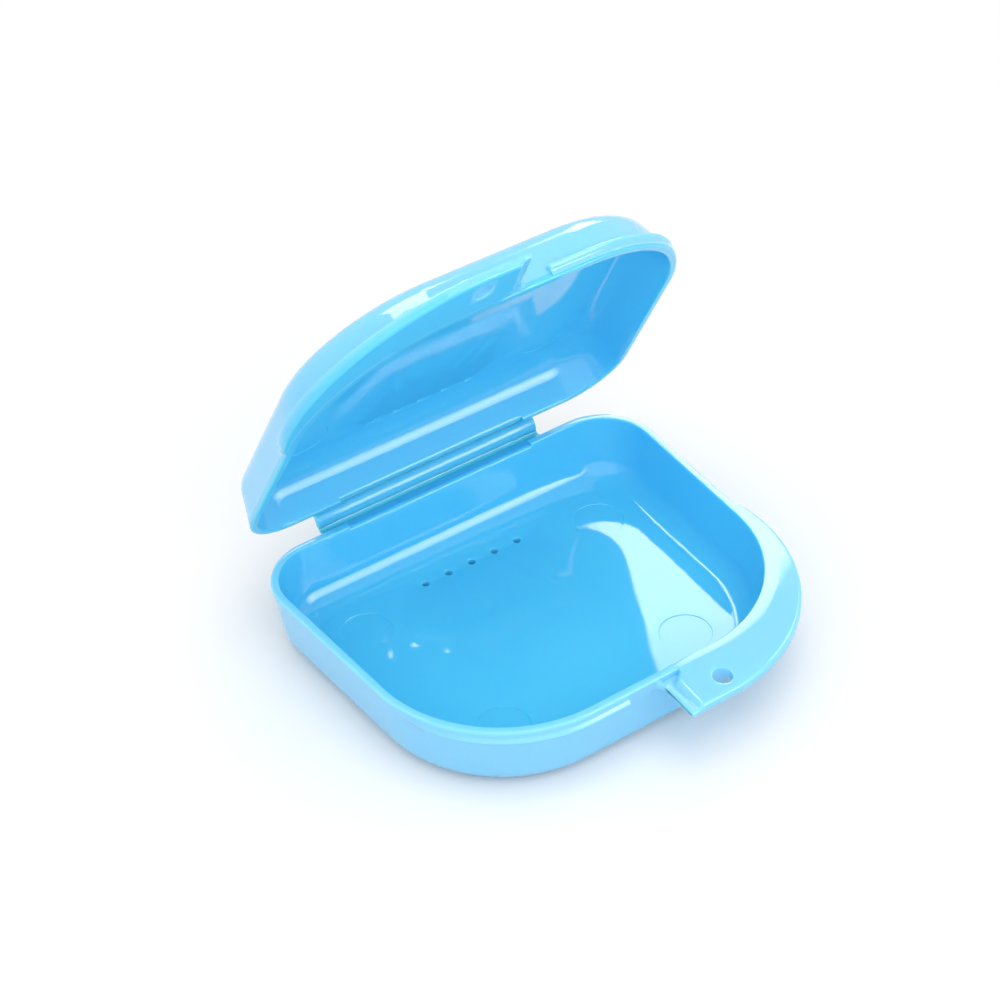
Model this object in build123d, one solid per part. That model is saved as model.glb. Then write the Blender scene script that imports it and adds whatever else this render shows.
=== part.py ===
from build123d import *
from math import acos, atan2, cos, hypot, radians, sin, tan
import os

# A shallow, rounded denture case: two shells moulded in one piece with a strap between them.
# Each shell is built in its own half frame: the parting plane is z = 0, the shell hangs below it,
# the hinge side is +Y and the finger tab is on the +X half of the front.
# The base sits upright on its flat floor. The lid is the same kind of half, turned over.

# --- plan shape of the inner rim edge -------------------------------------------------
back_corner_x = 29.1        # centre of each back corner, from the middle
back_corner_y = 21.65
back_corner_r = 9.4
front_corner_x = 12.2       # centre of each front corner
front_corner_y = -6.05
front_corner_r = 25.0

# --- shells ---------------------------------------------------------------------------
wall = 1.5                  # wall thickness at the rim
seat_gap = 0.2              # space left between the two closed rims
base_depth = 14.6           # parting plane to the outer floor
base_floor = 2.0
base_lean = 0.15            # how far each wall leans in, per millimetre of depth
base_outer_round = 5.0
base_inner_round = 3.8
lid_depth = 10.1
lid_floor = 1.4
lid_lean = 0.3
lid_outer_round = 4.8
lid_inner_round = 3.6

# --- finger tab on the front of each shell --------------------------------------------
tab_end_x = 0.8             # the tab's square end, just past the middle of the front
tab_corner_x = 9.4          # centre of the tab's rounded corner
tab_corner_y = -10.75
tab_corner_r = 30.6
tab_drop = 0.5              # step from the rim down to the tab's flat
tab_thickness = 1.9
tab_edge_round = 0.5
ramp_width = 2.2            # sloped shoulder between the rim and the tab's flat
shoulder_inset = 0.5        # the shoulder starts this far inside the outer rim edge
tongue_width = 1.4          # thin tongue at the tab's square end
tongue_drop = 0.85          # below the tab's flat
tongue_rise = 1.1           # length of the slope from the tongue up to the flat

# --- ring hole through each tab -------------------------------------------------------
ring_hole_d = 3.4
ring_hole_x = 9.7
ring_hole_from_edge = 3.5   # from the tab's front edge to the hole's centre

# --- grip ridge on the other half of the front ----------------------------------------
ridge_stand = 0.6           # how far its crest stands out past the rim
ridge_drop = 2.0            # crest, below the parting plane
ridge_foot = 2.9            # where its underside meets the wall
ridge_round = 0.35
ridge_bury = 0.9            # how deep its root reaches into the wall
ridge_start_x = 5.4         # from here it runs round the front corner and sinks into the side

# --- vent holes and ejector marks in each floor ---------------------------------------
vent_count = 5
vent_pitch = 5.0
vent_d = 1.4
vent_from_back = 8.6        # from the inner back edge
mark_d = 9.4
mark_depth = 0.12
mark_back_x = 25.3
mark_back_from_back = 13.0
mark_front_x = 19.4
mark_front_from_back = 46.8

# --- strap hinge ----------------------------------------------------------------------
hinge_half_length = 23.7
notch_half_length = 19.7    # the rim is scooped down between these two steps
hinge_offset = 4.0          # inner back edge to the flexing line
strap_height = 4.2          # between the two flexing lines
web_length = 1.2            # flexing length of each thin web
web_thickness = 0.4
scoop_drop = 0.3            # depth of the scoop at the inner edge, below the parting plane
leaf_foot = 4.6             # lowest point of the leaf's gusset, below the parting plane
leaf_bury = 0.3             # how far the leaf's upper face starts inside the outer wall
leaf_bury_drop = 0.5
strap_back = 0.5            # flat outer side of the strap, from its middle plane
strap_crown = 0.75          # crown of the strap's inner side, from its middle plane
strap_back_lead = 0.5       # length of each sloped end on the outer side
opening = 60.0              # degrees the lid stands open

back_edge = back_corner_y + back_corner_r
front_edge = front_corner_y - front_corner_r
tab_front = tab_corner_y - tab_corner_r
tab_top = -(seat_gap / 2 + tab_drop)
tab_bottom = tab_top - tab_thickness
hinge_y = back_edge + hinge_offset
hinge_z = strap_height / 2
web_half = web_length / 2
turn = opening / 2
over = 5.0                  # cutting tools overshoot by this much


def outline(offset, z):
    """Closed plan shape: two small back corners and two large front corners, joined by tangents."""
    dx = front_corner_x - back_corner_x
    dy = front_corner_y - back_corner_y
    lean_angle = atan2(dy, dx) + acos((back_corner_r - front_corner_r) / hypot(dx, dy))
    n = (cos(lean_angle), sin(lean_angle))
    rb = back_corner_r + offset
    rf = front_corner_r + offset
    back = [(back_corner_x, back_corner_y + rb), (back_corner_x + rb * n[0], back_corner_y + rb * n[1])]
    front = [(front_corner_x + rf * n[0], front_corner_y + rf * n[1]), (front_corner_x, front_corner_y - rf)]
    mirrored = [(-x, y) for x, y in back + front]
    edges = [
        Line(mirrored[0], back[0]),
        RadiusArc(back[0], back[1], rb),
        Line(back[1], front[0]),
        RadiusArc(front[0], front[1], rf),
        Line(front[1], mirrored[3]),
        RadiusArc(mirrored[3], mirrored[2], rf),
        Line(mirrored[2], mirrored[1]),
        RadiusArc(mirrored[1], mirrored[0], rb),
    ]
    return Pos(0, 0, z) * make_face(edges)


def tub(offset, top, depth, lean, round_r):
    """Solid tub with leaning walls and a rounded bottom edge."""
    body = loft([outline(offset + lean * top, top), outline(offset - lean * depth, -depth)], ruled=True)
    return fillet(body.faces().sort_by(Axis.Z)[0].edges(), round_r)


def slab(x0, x1, y0, y1, z0, z1):
    """Rectangular block between two corners."""
    return Pos((x0 + x1) / 2, (y0 + y1) / 2, (z0 + z1) / 2) * Box(x1 - x0, y1 - y0, z1 - z0)


def bar(points, half_length):
    """Profile in the YZ plane, run along X to both sides of the middle."""
    face = Plane.YZ * make_face(Polyline(*points, close=True))
    return extrude(face, half_length, both=True)


def tab_plan():
    """Plan of the finger tab, square at its inner end and round at its corner."""
    corner = Pos(tab_corner_x, tab_corner_y) * Circle(tab_corner_r)
    straight = Pos((tab_end_x + tab_corner_x) / 2, (tab_front + tab_corner_y) / 2) * Rectangle(
        tab_corner_x - tab_end_x, tab_corner_y - tab_front)
    keep = Pos(tab_end_x + tab_corner_r + tab_corner_x, tab_corner_y) * Rectangle(
        2 * (tab_corner_r + tab_corner_x), 2 * tab_corner_r + over)
    return (corner + straight) & keep


def tongue_step(flat_x):
    """Cutter that leaves the thin tongue, and the slope up from it, at the tab's end."""
    tongue_z = tab_top - tongue_drop
    start = Plane.XZ.offset(wall - front_edge)
    face = start * make_face(Polyline(
        (tab_end_x - over, over),
        (tab_end_x - over, tongue_z),
        (tab_end_x + tongue_width, tongue_z),
        (flat_x, tab_top),
        (flat_x, over),
        close=True))
    return extrude(face, front_edge - wall - tab_front + over)


def tab():
    """Finger tab: plate, sloped shoulder beside the rim, and the thin tongue at its end."""
    plate = Pos(0, 0, tab_bottom) * extrude(tab_plan(), tab_thickness)
    rim_top = -seat_gap / 2
    flat_x = tab_end_x + tongue_width + tongue_rise
    shoulder = loft([
        outline(wall - shoulder_inset, rim_top),
        outline(wall + ramp_width, tab_top - tab_edge_round),
    ], ruled=True)
    shoulder = shoulder & (Pos(0, 0, tab_bottom) * extrude(tab_plan(), tab_thickness + tab_drop))
    shoulder = shoulder & slab(flat_x, tab_corner_x + tab_corner_r, tab_front, back_edge, tab_bottom, rim_top)
    hole = Pos(ring_hole_x, tab_front + ring_hole_from_edge, tab_bottom) * Cylinder(
        ring_hole_d / 2, 2 * (tab_thickness + tab_drop))
    outer = plate.edges().group_by(Axis.Z)[-1].filter_by(lambda e: e.center().Y < front_corner_y)
    plate = fillet(outer.sort_by(Axis.Y)[:2], tab_edge_round)
    return plate + shoulder - tongue_step(flat_x) - hole


def ridge():
    """Grip ridge on the half of the front that has no tab: slopes out from the rim's edge to a rounded crest."""
    face = make_face(Polyline(
        (wall, -seat_gap / 2),
        (wall + ridge_stand, -ridge_drop),
        (wall - ridge_bury, -ridge_foot),
        (wall - ridge_bury, -ridge_drop),
        close=True))
    face = fillet(face.vertices().sort_by(Axis.X)[-1], ridge_round)
    start = (-ridge_start_x, front_edge)
    corner = (-front_corner_x, front_edge)
    r = front_corner_r - ridge_stand
    end = (-front_corner_x - r, front_edge + r)
    path = Wire([Line(start, corner), RadiusArc(corner, end, r)])
    return sweep(Plane(origin=start, x_dir=(0, -1, 0), z_dir=(-1, 0, 0)) * face, path)


def scoop_z(y):
    """Height of the scooped hinge leaf at a distance y behind the inner back edge."""
    web_top = -hinge_z + web_thickness / 2
    return -scoop_drop + (web_top + scoop_drop) * y / (hinge_offset - web_half)


def leaf():
    """Tapered leaf that carries the thin web, standing out of the back wall."""
    tip = hinge_offset - web_half
    points = [
        (back_edge, scoop_z(0) - leaf_bury_drop),
        (back_edge + wall - leaf_bury, scoop_z(wall - leaf_bury)),
        (back_edge + tip, scoop_z(tip)),
        (back_edge + tip, scoop_z(tip) - web_thickness),
        (back_edge, -leaf_foot),
    ]
    return bar(points, hinge_half_length)


def scoop():
    """Tool that takes the rim down to the leaf's slope between the two notch steps."""
    points = [
        (back_edge - over, over),
        (back_edge - over, scoop_z(-over)),
        (back_edge + wall, scoop_z(wall)),
        (back_edge + wall + leaf_bury, scoop_z(wall + leaf_bury)),
        (back_edge + wall + leaf_bury, over),
    ]
    return bar(points, notch_half_length)


def vents(depth):
    """Row of round vent holes through the floor, near the hinge."""
    tools = [
        Pos((i - (vent_count - 1) / 2) * vent_pitch, back_edge - vent_from_back, -depth)
        * Cylinder(vent_d / 2, 2 * over)
        for i in range(vent_count)
    ]
    return tools


def marks(floor_z):
    """Shallow round ejector marks in the inner floor."""
    back = back_edge - mark_back_from_back
    front = back_edge - mark_front_from_back
    spots = [(mark_back_x, back), (-mark_back_x, back), (mark_front_x, front), (-mark_front_x, front)]
    return [Pos(x, y, floor_z) * Cylinder(mark_d / 2, 2 * mark_depth) for x, y in spots]


def half_shell(depth, floor, lean, outer_round, inner_round):
    """One complete shell in its half frame."""
    body = tub(wall, -seat_gap / 2, depth, lean, outer_round)
    body = body + tab() + ridge() + leaf()
    body = body - tub(0, over, depth - floor, lean, inner_round)
    body = body - scoop()
    for tool in vents(depth) + marks(floor - depth):
        body = body - tool
    return body


def web():
    """Thin flexing web in the half frame, bent as it is with the lid open."""
    bend = 90 - turn
    radius = web_half / tan(radians(bend / 2))
    cy = hinge_y - web_half
    cz = -hinge_z + radius
    inner = radius - web_thickness / 2
    outer = radius + web_thickness / 2
    a0 = radians(-90)
    am = radians(-90 + bend / 2)
    a1 = radians(-90 + bend)

    def at(r, a):
        return (cy + r * cos(a), cz + r * sin(a))

    edges = [
        ThreePointArc(at(outer, a0), at(outer, am), at(outer, a1)),
        Line(at(outer, a1), at(inner, a1)),
        ThreePointArc(at(inner, a1), at(inner, am), at(inner, a0)),
        Line(at(inner, a0), at(outer, a0)),
    ]
    return extrude(Plane.YZ * make_face(edges), hinge_half_length, both=True)


def strap():
    """Stiff strap between the two webs, standing upright as it is with the lid shut."""
    half_web = web_thickness / 2
    end_z = hinge_z - web_half
    edges = [
        Line((hinge_y - half_web, end_z), (hinge_y + half_web, end_z)),
        Line((hinge_y + half_web, end_z), (hinge_y + strap_back, end_z - strap_back_lead)),
        Line((hinge_y + strap_back, end_z - strap_back_lead), (hinge_y + strap_back, -end_z + strap_back_lead)),
        Line((hinge_y + strap_back, -end_z + strap_back_lead), (hinge_y + half_web, -end_z)),
        Line((hinge_y + half_web, -end_z), (hinge_y - half_web, -end_z)),
        ThreePointArc((hinge_y - half_web, -end_z), (hinge_y - strap_crown, 0), (hinge_y - half_web, end_z)),
    ]
    return extrude(Plane.YZ * make_face(edges), hinge_half_length, both=True)


def swing(shape, both_webs):
    """Turn a closed piece about the lower web and, for the lid's pieces, first about the upper one."""
    if both_webs:
        shape = shape.rotate(Axis((0, hinge_y, hinge_z), (1, 0, 0)), -turn)
    return shape.rotate(Axis((0, hinge_y, -hinge_z), (1, 0, 0)), -turn)


def seat(shape):
    """Move from the half frame to the part's frame, whose zero is the outer floor of the base."""
    return Pos(0, 0, base_depth) * shape


def main():
    base = half_shell(base_depth, base_floor, base_lean, base_outer_round, base_inner_round)
    lid = half_shell(lid_depth, lid_floor, lid_lean, lid_outer_round, lid_inner_round)
    lid = lid.rotate(Axis.Y, 180)
    pieces = {
        "base_shell": seat(base),
        "base_web": seat(web()),
        "strap": seat(swing(strap(), False)),
        "lid_web": seat(swing(web().mirror(Plane.XY), True)),
        "lid_shell": seat(swing(lid, True)),
    }
    os.makedirs("parts", exist_ok=True)
    for name, shape in pieces.items():
        solids = shape.solids()
        print(name, len(solids), "solids", round(shape.volume, 1), "mm3", shape.bounding_box())
        export_step(solids[0] if len(solids) == 1 else shape, f"parts/{name}.step")


main()
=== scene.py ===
import bpy
import bmesh
from math import acos, asin, atan2, cos, hypot, pi, radians, sin, sqrt, tan
from mathutils import Matrix, Vector


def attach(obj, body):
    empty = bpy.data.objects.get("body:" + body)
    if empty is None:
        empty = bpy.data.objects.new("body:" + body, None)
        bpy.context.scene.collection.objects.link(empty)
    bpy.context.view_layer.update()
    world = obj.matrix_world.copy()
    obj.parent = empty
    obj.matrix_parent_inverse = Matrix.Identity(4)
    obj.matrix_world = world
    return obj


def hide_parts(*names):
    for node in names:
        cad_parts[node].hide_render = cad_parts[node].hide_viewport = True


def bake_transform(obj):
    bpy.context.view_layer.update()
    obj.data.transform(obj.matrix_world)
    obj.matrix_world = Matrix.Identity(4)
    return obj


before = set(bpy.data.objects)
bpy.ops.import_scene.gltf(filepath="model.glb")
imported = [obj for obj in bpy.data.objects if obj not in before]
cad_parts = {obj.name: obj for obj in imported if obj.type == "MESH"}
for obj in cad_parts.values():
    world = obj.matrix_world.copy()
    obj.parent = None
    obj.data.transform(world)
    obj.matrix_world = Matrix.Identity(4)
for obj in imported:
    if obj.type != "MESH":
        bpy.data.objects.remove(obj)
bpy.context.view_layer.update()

MM = 0.001

# --- camera, as the photograph was taken -----------------------------------------------
CAM_AZIMUTH = radians(33.112)
CAM_ELEVATION = radians(39.603)
CAM_ROLL = radians(-2.442)
CAM_DISTANCE = 441.4 * MM
CAM_TARGET = Vector((0, 1.05, 14.6)) * MM
CAM_OFFSET = (6.61 * MM, -12.39 * MM)      # the target's place beside the optical axis
CAM_FOCAL_PX = 2550.77
IMAGE_PX = 1000
SENSOR_MM = 36.0

# --- white studio -----------------------------------------------------------------------
WORLD_LIGHT = 0.92                         # for the object; the world seen directly is 1
FLOOR_HALF = 3.0
FLOOR_SHADE = (0.66, 0.66, 0.66, 1)
FLOOR_LIFT = (0.20, 0.20, 0.20, 1)         # added where the floor is seen directly
LAMP_DISTANCE = 0.9
LAMP_CENTRE = Vector((0, 0, 0.03))         # what every lamp looks at
FULL_SPREAD = 180

# --- plastic ----------------------------------------------------------------------------
PAINTED_LIGHT_ATTR = "outside"                        # vertex value for painted light: 0 inside the shells, painted shade; 1 outside, painted paler as if lit
PAINTED_SHADE_LEVEL = 0.1                               # that value, painted shade, on the hinge, the strap and webs and on the lid's rim and tab face
# the plastic's blue twice: darker inside the shells as painted shade, paler outside as painted light
BLUE_IN_PAINTED_SHADE = {"A": (0.092, 0.57, 0.85, 1), "B": (0.105, 0.595, 0.87, 1)}
BLUE_IN_PAINTED_LIGHT = {"A": (0.22, 0.625, 0.95, 1), "B": (0.24, 0.65, 0.96, 1)}
CLOUDS = {"Scale": 55.0, "Detail": 2.0}
GRAIN = {"Scale": 900.0, "Detail": 3.0}
WAVE_BUMP = {"Strength": 0.05, "Distance": 0.001}
GRAIN_BUMP = {"Strength": 0.02, "Distance": 0.0002}
ROUGHNESS = {"To Min": 0.035, "To Max": 0.075}
REFRACTION = 1.5
SUBSURFACE = {"Subsurface Weight": 0.7, "Subsurface Radius": (0.25, 0.7, 1.0), "Subsurface Scale": 0.0025}

# --- the case in mm, the same sizes as the solids'. Heights are from the parting plane ----
BACK_CORNER = (29.1, 21.65, 9.4)           # centre x, y and radius of the inner rim edge's corners
FRONT_CORNER = (12.2, -6.05, 25.0)
BACK_EDGE = BACK_CORNER[1] + BACK_CORNER[2]
FRONT_EDGE = FRONT_CORNER[1] - FRONT_CORNER[2]
WALL = 1.5
RIM_Z = -0.1
RIM_INNER_ROUND = 0.3
RIM_OUTER_ROUND = 0.35
BASE = {"depth": 14.6, "floor": 2.0, "lean": 0.15, "outer_round": 5.0}
LID = {"depth": 10.1, "floor": 1.4, "lean": 0.3, "outer_round": 4.8}
INNER_ROUND = {"back": 6.0, "side": 3.9, "front": 3.4}
BACK_BLEND = (16, 14)                      # where the inner round starts to change, and over what length
FRONT_BLEND = (-10, 18)
UNDER_Z = -4.8                             # below every feature on the outside of the wall

TAB_CORNER = (9.4, -10.75, 30.6)
TAB_REACH = FRONT_EDGE - (TAB_CORNER[1] - TAB_CORNER[2])
TAB_END = 0.8
TAB_ROUND = {"top": 0.6, "bottom": 0.4, "end": 0.2}
TAB_BOTTOM = -2.5
TAB_LEAST = 0.1                            # least reach past the wall of a station that has tab
TAB_GROWS = 0.8                            # reach over which the tab grows out of the plain wall
TAB_EASE = 0.5                             # how far from its end the tab is lowered towards the fillet
EDGE_SHARES = {"reach": 0.6, "thickness": 0.5}              # most that a tab's edge round takes of them
LEAST = 0.02                               # of a round, or of what an inset leaves
SHOULDER = {"start": 1.3, "soft": 1.2, "slope": 0.083}      # the tab falls gently from the rim's flat
TONGUE = {"z": -1.45, "x": 2.2, "flat_x": 3.3, "pocket": 1.5, "beside": 2.2, "past": 5.3}
GUSSET = {"x": -0.8, "r": 1.6, "drop": 0.3, "rise": 0.9, "grows": 0.3}     # fillet from tab end to wall
HOLE = (9.7, TAB_CORNER[1] - TAB_CORNER[2] + 3.5, 1.7)
HOLE_ROUND = 0.18
MIDWAY = 0.3                               # how far in the middle of a round lies, over its radius
FACE = {"z": -1.3, "past": 0.3}            # painted shade on the lid's tab face above that, and that far past the wall

RIDGE_X = -5.4
RIDGE_STAND = 0.6
RIDGE_END_ROUND = 0.45
RIDGE_FADE = (0.2, 0.35)                   # where it runs out round the corner, by its normal's -y
RIDGE_FOOT = -2.65
RIDGE_PROFILE = [(0.0, -0.62), (0.0, -0.95), (0.02, -1.1), (0.06, -1.23), (0.12, -1.34), (0.2, -1.45),
                 (0.29, -1.56), (0.38, -1.67), (0.46, -1.78), (0.53, -1.9), (0.58, -2.01), (0.59, -2.12),
                 (0.57, -2.22), (0.51, -2.31), (0.43, -2.38), (0.3, -2.45)]      # out from wall, height

HINGE_X = 23.7
NOTCH_X = 19.7
HINGE_Y = BACK_EDGE + 4.0
HINGE_Z = 2.1
HINGE_BLEND = (12, 19)                     # where the wall's rows start to move to the leaf's heights
LEAF_TIP = 3.4
LEAF_FOOT = -4.6
SCOOP_DROP = 0.3
SCOOP_ROUND = 0.6
STRAP = {"back": 0.5, "crown": 0.75, "lead": 0.5, "steps": 16, "soft": 0.12}
WEB = {"half": 0.6, "thick": 0.4, "steps": 12, "soft": 0.05}
TURN = radians(30)                         # each web's share of the lid's opening
BEND = pi / 2 - TURN                       # what is left of the web's bend

VENTS = {"count": 5, "pitch": 5.0, "r": 0.7, "y": BACK_EDGE - 8.6, "soft": 0.15, "ease": 0.05, "sides": 28}
MARKS = {"r": 4.7, "depth": 0.12, "slope": 0.05, "sides": 72, "places": ((25.3, 13.0), (19.4, 46.8))}

# --- how finely the shells are drawn ------------------------------------------------------
HOLE_CELL = 0.5                            # the ring hole is cut from a square of cells this wide
HOLE_CELLS = 10
HOLE_X = 7.2
HOLE_OFFSET = 4.4
STEPS = {"scoop": 10, "leaf": 3, "back": 4, "back_corner": 26, "side": 14, "front_corner": 52}   # stations
TAB_X = [6.3, 5.7, 5.2] + [5.0 - 0.2 * i for i in range(19)]
TAB_X += [TAB_END + t for t in (0.2, 0.15, 0.1, 0.06, 0.03, 0.01, 0.0)]
GUSSET_X = [TAB_END, 0.6, 0.4, 0.15, -0.15, -0.45, GUSSET["x"]]
PLAIN_X = [GUSSET["x"], -2.2, -3.8, RIDGE_X]
PLAIN_SPAN = 4.6                           # from the gusset to the ridge
PLAIN_TOP = -0.62
RIDGE_ENDS = [RIDGE_X - t for t in (0.0, 0.02, 0.06, 0.13, 0.25, 0.38, 0.45)] + [-7, -8.7, -10.4]
KNEE_Z = -1.6
FLAT_LEAD = 0.3                            # short flat between a floor's round and its fill
FAR_IN = -20                               # gives only the direction of a floor at its round
DEEP = -3                                  # gives only the direction of a wall at the rim's round
PRISM_STEPS = 8
WELD = 1e-4
SLIVER = 1e-5
SHARP = radians(40)


def aim_axes(azimuth, elevation, roll):
    """Right, up and forward axes of a camera that looks down at the object."""
    forward = Vector((sin(azimuth) * cos(elevation), cos(azimuth) * cos(elevation), -sin(elevation)))
    right = Vector((cos(azimuth), -sin(azimuth), 0))
    up = right.cross(forward)
    turned_right = cos(roll) * right + sin(roll) * up
    turned_up = cos(roll) * up - sin(roll) * right
    return turned_right, turned_up, forward


def make_camera():
    right, up, forward = aim_axes(CAM_AZIMUTH, CAM_ELEVATION, CAM_ROLL)
    data = bpy.data.cameras.new("camera")
    data.sensor_width = SENSOR_MM
    data.lens = CAM_FOCAL_PX / IMAGE_PX * SENSOR_MM
    data.clip_start = 0.01
    data.clip_end = 50
    camera = bpy.data.objects.new("camera", data)
    place = CAM_TARGET - CAM_OFFSET[0] * right - CAM_OFFSET[1] * up - CAM_DISTANCE * forward
    axes = Matrix((right, up, -forward)).transposed()
    camera.matrix_world = Matrix.Translation(place) @ axes.to_4x4()
    bpy.context.scene.collection.objects.link(camera)
    bpy.context.scene.camera = camera


class Nodes:
    """A material's or world's node tree, with short calls to add and join nodes."""

    def __init__(self, owner):
        owner.use_nodes = True
        self.tree = owner.node_tree
        self.tree.nodes.clear()

    def add(self, kind, inputs=None, **settings):
        node = self.tree.nodes.new(kind)
        for key, value in settings.items():
            setattr(node, key, value)
        for key, value in (inputs or {}).items():
            if isinstance(value, bpy.types.NodeSocket):
                self.tree.links.new(value, node.inputs[key])
            else:
                node.inputs[key].default_value = value
        return node

    def math(self, operation, *values):
        return self.add("ShaderNodeMath", dict(enumerate(values)), operation=operation).outputs[0]

    def mix(self, factor, a, b):
        """A colour between two."""
        values = {"Factor": factor, "A": a, "B": b}
        return self.add("ShaderNodeMix", values, data_type="RGBA").outputs["Result"]

    def seen_directly(self):
        """1 for what the camera sees itself, in a gloss or through something clear, else 0."""
        path = self.add("ShaderNodeLightPath").outputs
        either = self.math("MAXIMUM", path["Is Camera Ray"], path["Is Glossy Ray"])
        return self.math("MAXIMUM", either, path["Is Transmission Ray"])


def make_world():
    world = bpy.data.worlds.new("studio")
    bpy.context.scene.world = world
    n = Nodes(world)
    seen = n.seen_directly()
    strength = n.add("ShaderNodeMapRange", {"Value": seen, "To Min": WORLD_LIGHT, "To Max": 1.0})
    shade = n.add("ShaderNodeBackground", {"Color": (1, 1, 1, 1), "Strength": strength.outputs[0]})
    n.add("ShaderNodeOutputWorld", {"Surface": shade.outputs[0]})


def floor_material():
    material = bpy.data.materials.new("studio_floor")
    n = Nodes(material)
    diffuse = n.add("ShaderNodeBsdfDiffuse", {"Color": FLOOR_SHADE})
    lift = n.add("ShaderNodeBsdfDiffuse", {"Color": FLOOR_LIFT})
    lifted = n.add("ShaderNodeAddShader", {0: diffuse.outputs[0], 1: lift.outputs[0]})
    shade = n.add("ShaderNodeMixShader", {0: n.seen_directly(), 1: diffuse.outputs[0], 2: lifted.outputs[0]})
    n.add("ShaderNodeOutputMaterial", {"Surface": shade.outputs[0]})
    return material


def make_floor():
    half = FLOOR_HALF
    mesh = bpy.data.meshes.new("studio_floor")
    corners = [(-half, -half, 0), (half, -half, 0), (half, half, 0), (-half, half, 0)]
    mesh.from_pydata(corners, [], [(0, 1, 2, 3)])
    floor = bpy.data.objects.new("studio_floor", mesh)
    floor.data.materials.append(floor_material())
    bpy.context.scene.collection.objects.link(floor)


def softbox(name, azimuths, elevations, brightness, edge=FULL_SPREAD, diffuse=False, gloss=True):
    """A square lamp over a range of azimuth (0 is +Y, 90 is +X) and elevation, in degrees.

    An edge under the full spread fades the lamp from its middle to nothing at half that angle off it.
    Most lamps only make highlights; the world lights the object."""
    a, e = radians(sum(azimuths) / 2), radians(sum(elevations) / 2)
    towards = Vector((sin(a) * cos(e), cos(a) * cos(e), sin(e)))
    width = 2 * LAMP_DISTANCE * tan(radians(azimuths[1] - azimuths[0]) / 2 * cos(e))
    height = 2 * LAMP_DISTANCE * tan(radians(elevations[1] - elevations[0]) / 2)
    fade = 1.0
    if edge < FULL_SPREAD:
        half = radians(edge) / 2
        fade = tan(half) / (tan(half) - half)
    data = bpy.data.lights.new(name, "AREA")
    data.shape = "RECTANGLE"
    data.size = width
    data.size_y = height
    data.spread = radians(edge)
    data.energy = brightness * pi * width * height / fade
    lamp = bpy.data.objects.new(name, data)
    lamp.visible_camera = False
    lamp.visible_diffuse = diffuse
    lamp.visible_glossy = gloss
    lamp.location = LAMP_CENTRE + LAMP_DISTANCE * towards
    lamp.rotation_mode = "QUATERNION"
    lamp.rotation_quaternion = towards.to_track_quat("Z", "Y")
    bpy.context.scene.collection.objects.link(lamp)


def make_lights():
    softbox("softbox_behind", (37.2, 52), (15, 41), 8.0)            # white shape in the base's floor
    softbox("softbox_vents", (22, 32), (37, 46), 8.0)               # seen through the lid's vents
    softbox("softbox_right", (62, 92), (34, 52), 5.5, edge=60)      # the tab's right end
    for i, level in enumerate((7.0, 5.5, 3.8, 2.0)):                # soft upper edge of the white shape
        softbox(f"softbox_edge_{i}", (37.2, 52), (41 + i, 42 + i), level)
    softbox("softbox_above", (-15, 30), (47, 68), 10.0)             # along the lid's outer round
    softbox("softbox_top", (65, 295), (60, 100), 1.5, diffuse=True, gloss=False)
    softbox("softbox_front", (115, 185), (8, 34), 10.0, edge=42)    # strap and inner back rounds
    softbox("fill_front", (160, 250), (10, 60), 0.9, diffuse=True)


def plastic_material():
    """Glossy translucent polypropylene, clouded, finely grained, with painted light: paler on the outside,
    darker inside as painted shade.
    """
    material = bpy.data.materials.new("case_plastic_moulded")
    n = Nodes(material)
    place = n.add("ShaderNodeTexCoord").outputs["Object"]
    slow = n.add("ShaderNodeTexNoise", {"Vector": place} | CLOUDS).outputs[0]
    fine = n.add("ShaderNodeTexNoise", {"Vector": place} | GRAIN).outputs[0]
    shade_painted_colour = n.mix(slow, BLUE_IN_PAINTED_SHADE["A"], BLUE_IN_PAINTED_SHADE["B"])
    light_painted_colour = n.mix(slow, BLUE_IN_PAINTED_LIGHT["A"], BLUE_IN_PAINTED_LIGHT["B"])
    # mask of painted light and shade: 1 paler outside, less where painted shade falls
    outside = n.add("ShaderNodeAttribute", attribute_name=PAINTED_LIGHT_ATTR).outputs["Fac"]
    rough = n.add("ShaderNodeMapRange", {"Value": fine} | ROUGHNESS)
    wave = n.add("ShaderNodeBump", {"Height": slow} | WAVE_BUMP)
    grain = n.add("ShaderNodeBump", {"Height": fine, "Normal": wave.outputs[0]} | GRAIN_BUMP)
    shader = n.add("ShaderNodeBsdfPrincipled", {
        "Base Color": n.mix(outside, shade_painted_colour, light_painted_colour), "Roughness": rough.outputs[0], "IOR": REFRACTION,
        "Normal": grain.outputs[0]} | SUBSURFACE)
    n.add("ShaderNodeOutputMaterial", {"Surface": shader.outputs[0]})
    return material


def smooth(t):
    t = min(max(t, 0.0), 1.0)
    return t * t * (3 - 2 * t)


def rounded_off(distance, radius):
    """How far a rounded edge has dropped at a distance from the edge's face."""
    left = max(radius - distance, 0.0)
    return radius - sqrt(radius * radius - left * left)


def scoop_z(offset):
    """Height of the scooped hinge leaf at an offset behind the inner back edge."""
    web_top = WEB["thick"] / 2 - HINGE_Z
    return -SCOOP_DROP + (web_top + SCOOP_DROP) * offset / LEAF_TIP


def shoulder_z(offset):
    """Height of the rim and the tab, which falls gently away from the rim's flat."""
    past = max(offset - SHOULDER["start"], 0)
    bend = min(past, SHOULDER["soft"])
    return RIM_Z - SHOULDER["slope"] * (bend * bend / (2 * SHOULDER["soft"]) + past - bend)


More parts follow.
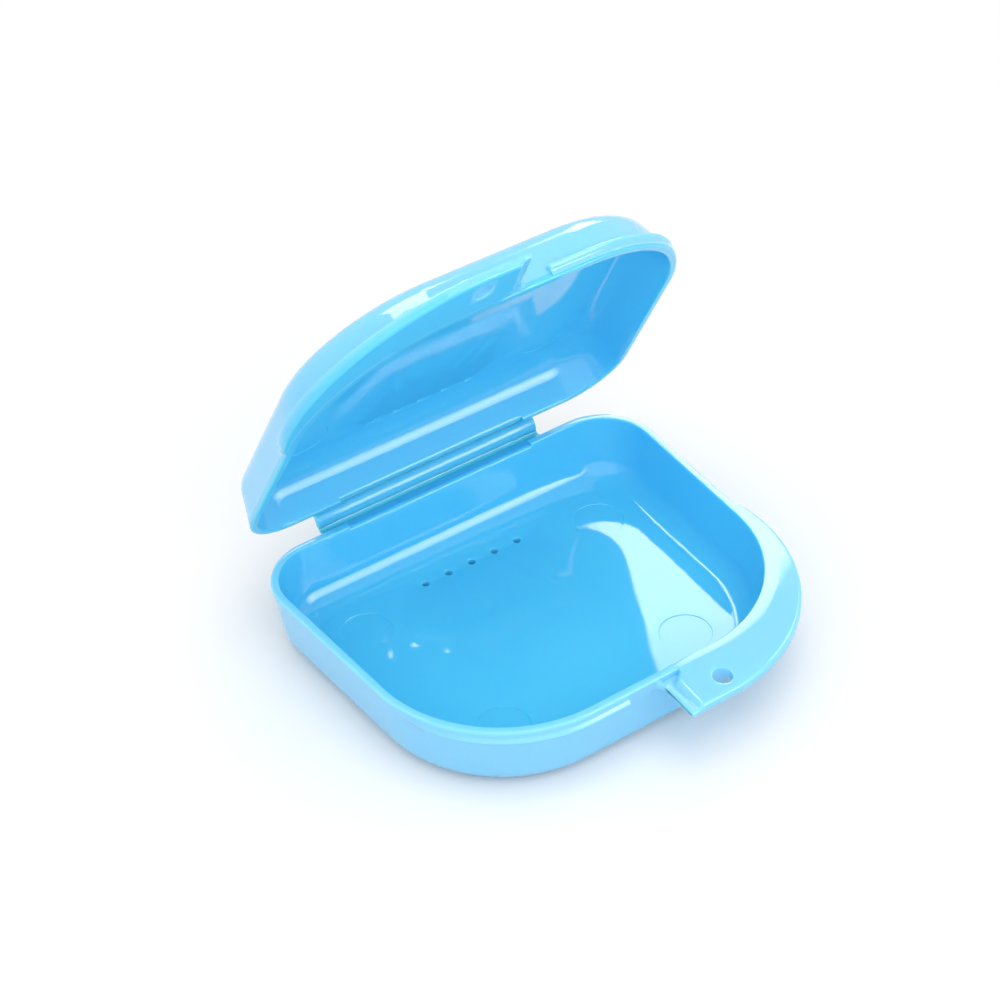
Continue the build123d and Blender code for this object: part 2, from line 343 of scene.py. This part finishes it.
def tongue_z(x, offset):
    """Height of the tab's top near its end: down a slope to the thin tongue, steeper beside the wall."""
    flat = shoulder_z(offset)
    beside = 1 - smooth((offset - WALL) / TONGUE["beside"])
    flat_x = TONGUE["flat_x"] + TONGUE["pocket"] * beside
    foot_x = flat_x - (TONGUE["flat_x"] - TONGUE["x"]) * (1 - 0.5 * beside)
    return TONGUE["z"] + (flat - TONGUE["z"]) * smooth((x - foot_x) / (flat_x - foot_x))


def gusset_z(offset):
    """Height of the top of the fillet between the tab's end and the wall."""
    out = min(max((offset - WALL) / GUSSET["r"], 0), 1)
    return RIM_Z - GUSSET["drop"] + (TONGUE["z"] - RIM_Z + GUSSET["drop"]) * out


def tab_reach(x, y, nx, ny):
    """How far the tab's plan reaches out from a point of the inner rim edge."""
    if x < TAB_CORNER[0] and ny < -0.99:
        return TAB_REACH
    dx, dy = x - TAB_CORNER[0], y - TAB_CORNER[1]
    along = nx * dx + ny * dy
    inside = TAB_CORNER[2] ** 2 - dx * dx - dy * dy + along * along
    return sqrt(inside) - along if inside > 0 else 0.0


def inner_round(y):
    """Radius between wall and floor: widest at the back, least at the front."""
    back = smooth((y - BACK_BLEND[0]) / BACK_BLEND[1])
    front = smooth((FRONT_BLEND[0] - y) / FRONT_BLEND[1])
    side = INNER_ROUND["side"]
    return side + (INNER_ROUND["back"] - side) * back + (INNER_ROUND["front"] - side) * front


def columns():
    """Stations round the inner rim edge, from the middle of the back over +X: x, y, normal, kind."""
    bx, by, br = BACK_CORNER
    fx, fy, fr = FRONT_CORNER
    dx, dy = fx - bx, fy - by
    side = atan2(dy, dx) + acos((br - fr) / hypot(dx, dy))
    up, down = pi / 2, -pi / 2
    out = []

    def line(a, b, n, angle, kind):
        for i in range(n + 1):
            t = i / n
            out.append((a[0] + (b[0] - a[0]) * t, a[1] + (b[1] - a[1]) * t, cos(angle), sin(angle), kind))

    def arc(c, a0, a1, n, kind):
        for i in range(1, n):
            a = a0 + (a1 - a0) * i / n
            out.append((c[0] + c[2] * cos(a), c[1] + c[2] * sin(a), cos(a), sin(a), kind))

    def on(c, a):
        return (c[0] + c[2] * cos(a), c[1] + c[2] * sin(a))

    def back_line(x0, x1, n, kind):
        line((x0, BACK_EDGE), (x1, BACK_EDGE), n, up, kind)

    back_line(0, NOTCH_X, STEPS["scoop"], "scoop")
    back_line(NOTCH_X, HINGE_X, STEPS["leaf"], "leaf")
    back_line(HINGE_X, bx, STEPS["back"], "plain")
    arc(BACK_CORNER, up, side, STEPS["back_corner"], "plain")
    line(on(BACK_CORNER, side), on(FRONT_CORNER, side), STEPS["side"], side, "tab")
    arc(FRONT_CORNER, side, down, STEPS["front_corner"], "tab")
    line((fx, FRONT_EDGE), (HOLE_X, FRONT_EDGE), HOLE_CELLS, down, "tab")
    fronts = [(TAB_X, "tab"), (GUSSET_X, "gusset"), (PLAIN_X, "plain"), (RIDGE_ENDS + [-fx], "ridge")]
    for xs, kind in fronts:
        out.extend((x, FRONT_EDGE, cos(down), sin(down), kind) for x in xs)
    mirrored_front = (-fx, fy, fr)
    mirrored_back = (-bx, by, br)
    other_side = -pi - side
    arc(mirrored_front, down, other_side, STEPS["front_corner"], "ridge")
    line(on(mirrored_front, other_side), on(mirrored_back, other_side), STEPS["side"], other_side, "plain")
    arc(mirrored_back, pi - side, up, STEPS["back_corner"], "plain")
    back_line(-bx, -HINGE_X, STEPS["back"], "plain")
    back_line(-HINGE_X, -NOTCH_X, STEPS["leaf"], "leaf")
    back_line(-NOTCH_X, 0, STEPS["scoop"], "scoop")
    return out[:-1]


def round_corner(before, corner, after, radius, n):
    """n points of the arc that rounds a corner in section, from one tangent point to the other."""
    p = Vector(corner)
    a = (Vector(before) - p).normalized()
    b = (Vector(after) - p).normalized()
    half = a.angle(b) / 2
    centre = p + (a + b).normalized() * (radius / sin(half))
    start = p + a * (radius / tan(half)) - centre
    end = p + b * (radius / tan(half)) - centre
    sweep = start.angle_signed(end)
    out = []
    for i in range(n):
        t = -sweep * i / (n - 1)
        out.append((centre.x + start.x * cos(t) - start.y * sin(t),
                    centre.y + start.x * sin(t) + start.y * cos(t)))
    return out


def part_way(a, b, t):
    return (a[0] + (b[0] - a[0]) * t, a[1] + (b[1] - a[1]) * t)


def grown(plain, rows, share):
    """Rows part way from those of the plain wall."""
    return [part_way(p, q, share) for p, q in zip(plain, rows)]


def between(a, b, n):
    """n points evenly on the line from a, which isn't one of them, to b, which is."""
    return [(a[0] + (b[0] - a[0]) * (i + 1) / n, a[1] + (b[1] - a[1]) * (i + 1) / n) for i in range(n)]


def resample(points, n):
    """n points at even steps along a line of points, both ends kept."""
    lengths = [0.0]
    for a, b in zip(points, points[1:]):
        lengths.append(lengths[-1] + hypot(b[0] - a[0], b[1] - a[1]))
    out = []
    for i in range(n):
        at = lengths[-1] * i / (n - 1)
        k = max(j for j in range(len(points) - 1) if lengths[j] <= at or j == 0)
        out.append(part_way(points[k], points[k + 1], (at - lengths[k]) / (lengths[k + 1] - lengths[k])))
    return out


class Section:
    """Rows of points (offset from the inner rim edge, height) round one station of a shell's wall.

    Every kind of station has the same number of rows, so that any two of them can be joined."""

    BEFORE_HOLE = [1.9, 2.4, 2.9, 3.4, 3.9]
    TOP_ROWS = BEFORE_HOLE + [HOLE_OFFSET + HOLE_CELL * i for i in range(HOLE_CELLS + 1)]
    ROWS_END = TAB_REACH - 0.5 - 0.3       # end of the flat that these rows are spaced for
    EDGE_ROWS = (4, 3)                     # of the tab's upper and lower edge
    UNDER_ROWS = TOP_ROWS[:4:-1] + [2.9]
    RIM_ROWS = 5
    CORNER_ROWS = 7
    FLOOR_ROWS = 11
    SCOOPED_RIM = (0.95, 1.02, 1.08, 1.14, 1.2)

    def __init__(self, half):
        self.half = half
        self.lean = half["lean"]
        slope = scoop_z(1.0) - scoop_z(0.0)
        corner_z = scoop_z(0.0) / (1 - slope * self.lean)
        self.scoop_corner = round_corner(self.inner(DEEP), (self.lean * corner_z, corner_z), (1, scoop_z(1)),
                                         SCOOP_ROUND, self.CORNER_ROWS)
        self.leaf_top_z = (-SCOOP_DROP + slope * WALL) / (1 - slope * self.lean)
        under = (self.tip()[1] - LEAF_FOOT) / LEAF_TIP
        self.leaf_foot_z = (LEAF_FOOT + under * WALL) / (1 - under * self.lean)

    def tip(self):
        return (LEAF_TIP, scoop_z(LEAF_TIP) - WEB["thick"])

    def inner(self, z):
        return (self.lean * z, z)

    def outer(self, z):
        return (WALL + self.lean * z, z)

    def inside(self, radius, scooped):
        """From the inner floor up to the rounded inner edge of the rim."""
        floor_z = self.half["floor"] - self.half["depth"]
        arc = round_corner((FAR_IN, floor_z), self.inner(floor_z), self.inner(0), radius, self.FLOOR_ROWS)
        rows = [(arc[0][0] - FLAT_LEAD, floor_z)] + arc
        rows.append(self.inner((arc[-1][1] + KNEE_Z) / 2))
        rows.append(self.inner(KNEE_Z))
        rows.append(self.scoop_corner[0])
        if scooped:
            return rows + self.scoop_corner
        return rows + round_corner(self.inner(DEEP), self.inner(RIM_Z), (1, RIM_Z), RIM_INNER_ROUND,
                                   self.CORNER_ROWS)

    def rim(self):
        """Top of the rim and its rounded outer edge."""
        edge = round_corner((0.5, RIM_Z), self.outer(RIM_Z), self.outer(DEEP), RIM_OUTER_ROUND,
                            self.RIM_ROWS - 1)
        return [(WALL / 2, RIM_Z)] + edge

    def below(self):
        """From under every outside feature down to the bottom."""
        bottom = -self.half["depth"]
        arc = round_corner(self.outer(0), self.outer(bottom), (FAR_IN, bottom), self.half["outer_round"],
                           self.FLOOR_ROWS)
        return [self.outer(UNDER_Z)] + arc + [(arc[-1][0] - FLAT_LEAD, bottom)]

    def plain(self, start_z, end_z):
        n = len(self.TOP_ROWS) + sum(self.EDGE_ROWS) + len(self.UNDER_ROWS) + 1
        return self.rim() + [self.outer(start_z)] + between(self.outer(start_z), self.outer(end_z), n)

    def plate(self, reach, full, top_round, bottom_round, height, bottom):
        """Outside rows of the tab: height(offset) gives its upper surface."""
        scale = (full - top_round - WALL) / (self.ROWS_END - WALL)
        offsets = [min(WALL + (d - WALL) * scale, reach - top_round) for d in self.TOP_ROWS]
        rows = [(d, height(d)) for d in offsets]
        edge = (reach, height(reach - top_round))
        above, beneath = self.EDGE_ROWS
        rows += round_corner((reach - 1, edge[1]), edge, (reach, edge[1] - 1), top_round, above)
        rows += round_corner((reach, edge[1]), (reach, bottom), (reach - 1, bottom), bottom_round, beneath)
        rows += [(min(WALL + (d - WALL) * scale, reach - bottom_round), bottom) for d in self.UNDER_ROWS]
        return rows + [self.outer(TAB_BOTTOM)]

    def leaf(self, scooped):
        """The hinge leaf, from the rim out to its tip and back under to the wall."""
        top = (self.outer(self.leaf_top_z)[0], self.leaf_top_z)
        rim = [(d, scoop_z(d)) for d in self.SCOOPED_RIM] if scooped else self.rim()
        end = (LEAF_TIP, scoop_z(LEAF_TIP))
        rows = rim + [top] + between(top, end, len(self.TOP_ROWS) + 1)
        rows += [end] * 3 + [self.tip()] * 3
        return rows + between(self.tip(), self.outer(self.leaf_foot_z), len(self.UNDER_ROWS) + 1)

    def ridge(self, stand):
        """The rim's outer edge, the flare below it, the ridge's crest and its underside."""
        def proud(p):
            return (max(p[0], self.outer(p[1])[0]), p[1])

        n = len(self.TOP_ROWS) + 1 + sum(self.EDGE_ROWS)
        profile = [(WALL + d * stand / RIDGE_STAND, z) for d, z in resample(RIDGE_PROFILE, n)]
        rows = self.rim() + [proud(p) for p in profile]
        foot = (self.outer(RIDGE_FOOT)[0], RIDGE_FOOT)
        return rows + [proud(p) for p in between(rows[-1], foot, len(self.UNDER_ROWS) + 1)]

    def gusset(self, x, plain):
        """The fillet in plan between the tab's end and the wall."""
        away = (TAB_END - x) / (TAB_END - GUSSET["x"])
        reach = WALL + GUSSET["r"] * (1 - sqrt(1 - (1 - away) ** 2))
        end = TAB_ROUND["end"]
        rows = self.tab_rows(reach, TAB_REACH - end, end, lambda d: gusset_z(d) - end, filled=0.0)
        return grown(plain, rows, min((reach - WALL) / GUSSET["grows"], 1))

    def tab(self, x, reach, plain):
        """The tab's flat and the tongue at its end."""
        end = rounded_off(x - TAB_END, TAB_ROUND["end"])
        reach = max(reach - end, WALL + TAB_LEAST)
        near = min(max((x - TAB_END) / TAB_EASE, 0), 1)

        def height(d):
            if x < TONGUE["past"]:
                return max(tongue_z(x, d), gusset_z(d) - GUSSET["rise"] * near) - end
            return shoulder_z(d)

        filled = (height(WALL) - TONGUE["z"]) / (shoulder_z(WALL) - TONGUE["z"])
        rows = self.tab_rows(reach, reach, end, height, filled)
        return grown(plain, rows, smooth((reach - WALL - TAB_LEAST) / TAB_GROWS))

    def tab_rows(self, reach, full, end, height, filled):
        """Rim and plate. filled is how far the rim's rounded edge gives way to the tab's flat."""
        thickness = height(reach) - TAB_BOTTOM
        most = min((reach - WALL) * EDGE_SHARES["reach"], thickness * EDGE_SHARES["thickness"])
        top_round = max(min(TAB_ROUND["top"], most), LEAST)
        bottom_round = min(TAB_ROUND["bottom"], top_round)
        rim = [(d, z + (shoulder_z(d) - z) * filled) for d, z in self.rim()]
        rows = rim + [(WALL, min(height(WALL), rim[-1][1]))]
        return rows + self.plate(reach, full, top_round, bottom_round, height, TAB_BOTTOM + end)

    def rows(self, x, y, nx, ny, kind):
        """All rows of a station, from the inner floor over the rim to the bottom."""
        near_hinge = smooth((y - HINGE_BLEND[0]) / HINGE_BLEND[1])
        near_ridge = min(max((GUSSET["x"] - x) / PLAIN_SPAN, 0), 1)
        front_end = TAB_BOTTOM + (RIDGE_FOOT - TAB_BOTTOM) * near_ridge
        start_z = PLAIN_TOP + (self.leaf_top_z - PLAIN_TOP) * near_hinge
        end_z = front_end + (self.leaf_foot_z - front_end) * near_hinge
        outside = plain = self.plain(start_z, end_z)
        if kind in ("scoop", "leaf"):
            outside = self.leaf(kind == "scoop")
        elif kind == "ridge":
            stand = RIDGE_STAND * -ny
            if ny < -0.999:
                stand -= rounded_off(RIDGE_X - x, RIDGE_END_ROUND)
            outside = grown(plain, self.ridge(stand), smooth((-ny - RIDGE_FADE[0]) / RIDGE_FADE[1]))
        elif kind == "tab":
            outside = self.tab(x, tab_reach(x, y, nx, ny), plain)
        elif kind == "gusset":
            outside = self.gusset(x, plain)
        return self.inside(inner_round(y), kind == "scoop") + outside + self.below()


def painted_light_level(half, kind, offset, z):
    """The painted light value of a point beyond the rim's inner edge: painted shade where it is turned away.
    """
    hinge = kind in ("scoop", "leaf") and z > scoop_z(LEAF_TIP) - 0.05
    tab = kind == "tab" and offset > WALL + FACE["past"]
    lid_face = half is LID and (offset < WALL or tab) and z > FACE["z"]
    return PAINTED_SHADE_LEVEL if hinge or lid_face else 1.0


def ring(bm, x, y, z, radius, n):
    angles = [2 * pi * i / n for i in range(n)]
    return [bm.verts.new((x + radius * cos(a), y + radius * sin(a), z)) for a in angles]


def bridge(bm, *loops):
    """Join loops of equally many vertices, each to the next."""
    for a, b in zip(loops, loops[1:]):
        n = len(a)
        for i in range(n):
            bm.faces.new((a[i], a[(i + 1) % n], b[(i + 1) % n], b[i]))


def fill_flat(bm, loops):
    """Fill the flat between an outer loop and the loops inside it."""
    edges = []
    for loop in loops:
        for i, v in enumerate(loop):
            w = loop[(i + 1) % len(loop)]
            edges.append(bm.edges.get((v, w)) or bm.edges.new((v, w)))
    bmesh.ops.triangle_fill(bm, use_beauty=True, use_dissolve=False, edges=edges)


def distinct(loop):
    """The loop's vertices that are left after merging, each once."""
    out = []
    for v in loop:
        if v.is_valid and v not in out:
            out.append(v)
    return out


def wall_faces(bm, grid, first, hole_rows):
    """Faces between the stations, but for a square of cells at both ends of the ring hole."""
    for i in range(len(grid)):
        a, b = grid[i], grid[(i + 1) % len(grid)]
        in_x = first <= i < first + HOLE_CELLS
        for j in range(len(a) - 1):
            if not (in_x and any(row <= j < row + HOLE_CELLS for row in hole_rows)):
                bm.faces.new((a[j], b[j], b[j + 1], a[j + 1]))


def ring_hole(bm, outside, grid, first, top_row, under_row):
    """The hole through the tab, from one square of open cells to the other."""
    hx, hy, hr = HOLE
    soft = HOLE_ROUND

    def around(j0, j1):
        """Vertices of a square, in order round it."""
        i0, i1 = first, first + HOLE_CELLS
        step = 1 if j1 > j0 else -1
        out = [grid[i][j0] for i in range(i0, i1)]
        out += [grid[i1][j] for j in range(j0, j1, step)]
        out += [grid[i][j1] for i in range(i1, i0, -1)]
        return out + [grid[i0][j] for j in range(j1, j0, -step)]

    def circle(radius, z, on_top=False):
        """A circle whose vertices are each in line with one of the square's."""
        out = []
        for v in top:
            a = atan2(v.co.y - hy, v.co.x - hx)
            y = hy + radius * sin(a)
            lift = shoulder_z(FRONT_EDGE - y) if on_top else 0.0
            out.append(bm.verts.new((hx + radius * cos(a), y, z + lift)))
            # painted light: the hole's walls take the paler outside colour
            out[-1][outside] = 1.0
        return out

    top = around(top_row, top_row + HOLE_CELLS)
    under = around(under_row + HOLE_CELLS, under_row)
    upper = [circle(hr + 2 * soft, 0, True), circle(hr + soft, 0, True),
             circle(hr + soft * MIDWAY, -soft * MIDWAY, True), circle(hr, -soft, True)]
    lower = [circle(hr, TAB_BOTTOM + soft), circle(hr + soft * MIDWAY, TAB_BOTTOM + soft * MIDWAY),
             circle(hr + soft, TAB_BOTTOM), circle(hr + 2 * soft, TAB_BOTTOM)]
    bridge(bm, top, *upper, *lower, under)


def vent_holes(bm, outside, floor_z, bottom_z):
    """The row of vents; returns their loops in the inner floor and in the bottom."""
    r, soft, ease = VENTS["r"], VENTS["soft"], VENTS["ease"]
    stack = [(r + soft, floor_z), (r + ease, floor_z - ease), (r, floor_z - soft),
             (r, bottom_z + soft), (r + ease, bottom_z + ease), (r + soft, bottom_z)]
    inner, outer = [], []
    for i in range(VENTS["count"]):
        x = (i - (VENTS["count"] - 1) / 2) * VENTS["pitch"]
        rings = [ring(bm, x, VENTS["y"], z, radius, VENTS["sides"]) for radius, z in stack]
        bridge(bm, *rings)
        # painted light: the vents' lower ends take the paler outside colour
        for v in rings[-1] + rings[-2]:
            v[outside] = 1.0
        inner.append(rings[0])
        outer.append(rings[-1])
    return inner, outer


def ejector_marks(bm, floor_z):
    """Shallow round steps down in the inner floor; returns their loops."""
    loops = []
    for mark_x, from_back in MARKS["places"]:
        for x in (mark_x, -mark_x):
            y = BACK_EDGE - from_back
            upper = ring(bm, x, y, floor_z, MARKS["r"] + MARKS["slope"], MARKS["sides"])
            lower = ring(bm, x, y, floor_z - MARKS["depth"], MARKS["r"] - MARKS["slope"], MARKS["sides"])
            bridge(bm, upper, lower)
            bm.faces.new(lower)
            loops.append(upper)
    return loops


def shell_mesh(name, half, matrix):
    """One shell: its wall is swept round the rim, and its two floors and its holes are filled in."""
    bm = bmesh.new()
    section = Section(half)
    stations = columns()
    grid = []
    inside_n = len(section.inside(5, False))
    # painted light and shade per vertex: paler outside, darker inside and where turned away
    outside = bm.verts.layers.float.new(PAINTED_LIGHT_ATTR)
    for x, y, nx, ny, kind in stations:
        rows = section.rows(x, y, nx, ny, kind)
        grid.append([bm.verts.new((x + d * nx, y + d * ny, z)) for d, z in rows])
        for v, (d, z) in list(zip(grid[-1], rows))[inside_n - 3:]:
            v[outside] = painted_light_level(half, kind, d, z)
    wall_row = inside_n + Section.RIM_ROWS
    top_row = wall_row + 1 + len(Section.BEFORE_HOLE)
    under_row = wall_row + 1 + len(Section.TOP_ROWS) + sum(Section.EDGE_ROWS)
    first = min(i for i, (x, y, nx, ny, kind) in enumerate(stations)
                if kind == "tab" and abs(x - FRONT_CORNER[0]) < 1e-6 and ny < -0.99)
    wall_faces(bm, grid, first, (top_row, under_row))
    ring_hole(bm, outside, grid, first, top_row, under_row)
    bmesh.ops.remove_doubles(bm, verts=bm.verts, dist=WELD)
    inner_loop = distinct([column[0] for column in grid])
    outer_loop = distinct([column[-1] for column in grid])
    floor_z, bottom_z = half["floor"] - half["depth"], -half["depth"]
    inner_vents, outer_vents = vent_holes(bm, outside, floor_z, bottom_z)
    fill_flat(bm, [inner_loop] + inner_vents + ejector_marks(bm, floor_z))
    fill_flat(bm, [outer_loop] + outer_vents)
    finish_mesh(bm)
    return add_object(name, bm, matrix)


def finish_mesh(bm):
    """Drop slivers, turn the normals out and shade all smooth but the sharp edges."""
    bmesh.ops.dissolve_degenerate(bm, dist=SLIVER, edges=bm.edges)
    bmesh.ops.recalc_face_normals(bm, faces=bm.faces)
    for face in bm.faces:
        face.smooth = True
    for edge in bm.edges:
        if len(edge.link_faces) == 2:
            edge.smooth = edge.calc_face_angle(0) < SHARP


def add_object(name, bm, matrix):
    mesh = bpy.data.meshes.new(name)
    bm.transform(matrix)
    if matrix.determinant() < 0:
        bmesh.ops.reverse_faces(bm, faces=bm.faces)
    bm.to_mesh(mesh)
    bm.free()
    obj = bpy.data.objects.new(name, mesh)
    bpy.context.scene.collection.objects.link(obj)
    return obj


def swing(z):
    """Turn about the flexing line at that height, by one web's share of the opening."""
    pivot = Matrix.Translation((0, HINGE_Y, z))
    return pivot @ Matrix.Rotation(-TURN, 4, "X") @ pivot.inverted()


def prism(name, section, half_length, soft, matrix):
    """A section in Y and Z run along X, with softened ends."""
    bm = bmesh.new()
    outside = bm.verts.layers.float.new(PAINTED_LIGHT_ATTR)
    cy = sum(p[0] for p in section) / len(section)
    cz = sum(p[1] for p in section) / len(section)
    stations = [(-half_length, soft), (-half_length + soft * MIDWAY, soft * MIDWAY), (-half_length + soft, 0)]
    stations += [(-half_length + 2 * half_length * i / PRISM_STEPS, 0) for i in range(1, PRISM_STEPS)]
    stations += [(-x, inset) for x, inset in stations[2::-1]]
    loops = []
    for x, inset in stations:
        loop = []
        for y, z in section:
            reach = hypot(y - cy, z - cz)
            keep = max(reach - inset, LEAST) / reach
            loop.append(bm.verts.new((x, cy + (y - cy) * keep, cz + (z - cz) * keep)))
            # painted shade: strap and webs take the darker inside colour
            loop[-1][outside] = PAINTED_SHADE_LEVEL
        loops.append(loop)
    bridge(bm, *loops)
    bm.faces.new(loops[0])
    bm.faces.new(loops[-1])
    finish_mesh(bm)
    return add_object(name, bm, matrix)


def strap_section():
    """Flat outer side with sloped ends, crowned inner side."""
    end_z = HINGE_Z - WEB["half"]
    half_web = WEB["thick"] / 2
    back, crown, lead = STRAP["back"], STRAP["crown"], STRAP["lead"]
    outer = [(half_web, end_z), (back, end_z - lead), (back, 0.0), (back, -end_z + lead), (half_web, -end_z)]
    sagitta = crown - half_web
    radius = (end_z ** 2 + sagitta ** 2) / (2 * sagitta)
    span = asin(end_z / radius)
    inner = []
    for i in range(STRAP["steps"] + 1):
        a = -span + 2 * span * i / STRAP["steps"]
        inner.append((-crown + radius - radius * cos(a), radius * sin(a)))
    return [(HINGE_Y + y, z) for y, z in outer + inner]


def web_section():
    """The thin web, bent as it is with the lid open."""
    radius = WEB["half"] / tan(BEND / 2)
    cy, cz = HINGE_Y - WEB["half"], radius - HINGE_Z
    angles = [-pi / 2 + BEND * i / WEB["steps"] for i in range(WEB["steps"] + 1)]

    def side(r):
        return [(cy + r * cos(a), cz + r * sin(a)) for a in angles]

    return side(radius + WEB["thick"] / 2) + side(radius - WEB["thick"] / 2)[::-1]


def build_case():
    """The pieces, each made closed and seated, then swung to where it is with the lid open."""
    to_metres = Matrix.Scale(MM, 4)
    seat = to_metres @ Matrix.Translation((0, 0, BASE["depth"]))
    low, high = swing(-HINGE_Z), swing(HINGE_Z)
    turned_over = Matrix.Rotation(pi, 4, "Y")
    mirrored = Matrix.Scale(-1, 4, (0, 0, 1))
    base = shell_mesh("base_shell_moulded", BASE, seat)
    lid = shell_mesh("lid_shell_moulded", LID, seat @ low @ high @ turned_over)
    strap = prism("strap_moulded", strap_section(), HINGE_X, STRAP["soft"], seat @ low)
    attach(base, "base")
    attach(lid, "lid")
    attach(strap, "strap")
    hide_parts("base_shell")
    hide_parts("lid_shell")
    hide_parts("strap")
    lid_place = seat @ low @ high @ mirrored
    base_web = prism("base_web_bent", web_section(), HINGE_X, WEB["soft"], seat)
    lid_web = prism("lid_web_bent", web_section(), HINGE_X, WEB["soft"], lid_place)
    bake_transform(base_web)
    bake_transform(lid_web)
    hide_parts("base_web")
    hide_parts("lid_web")
    return [base, lid, strap, base_web, lid_web]


make_camera()
make_world()
make_floor()
make_lights()
plastic = plastic_material()
for piece in build_case():
    piece.data.materials.append(plastic)

bpy.context.scene.view_settings.view_transform = "Standard"
